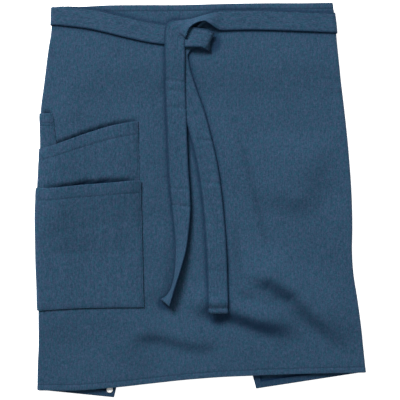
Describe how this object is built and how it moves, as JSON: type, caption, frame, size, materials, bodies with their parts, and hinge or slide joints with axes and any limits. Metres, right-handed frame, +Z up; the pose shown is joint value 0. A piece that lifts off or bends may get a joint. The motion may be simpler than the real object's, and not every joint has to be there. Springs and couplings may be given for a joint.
{
  "type": "waist apron",
  "caption": "Short waist apron in blue cloth, laid flat with folded side wings, wrapped and half-knotted ties and three patch pockets.",
  "frame": {"origin": "under the middle of the whole apron, on the surface that it lies on", "axes": "+X across the front towards the right fold as seen from above, +Y from the hem to the waist, +Z up"},
  "size_m": [0.4988, 0.594, 0.0325],
  "materials": {
    "body_cloth": "matt heathered twill",
    "pocket_cloth": "matt heathered twill",
    "tie_cloth": "matt heathered twill, sewn double",
    "snap_plastic": "glossy white"
  },
  "bodies": {
    "root": {"apron_body": "body_cloth", "pocket_pen": "pocket_cloth", "pocket_slanted": "pocket_cloth", "pocket_lower": "pocket_cloth", "tie_left": "tie_cloth", "tie_right": "tie_cloth", "snap": "snap_plastic"}
  },
  "joints": []
}
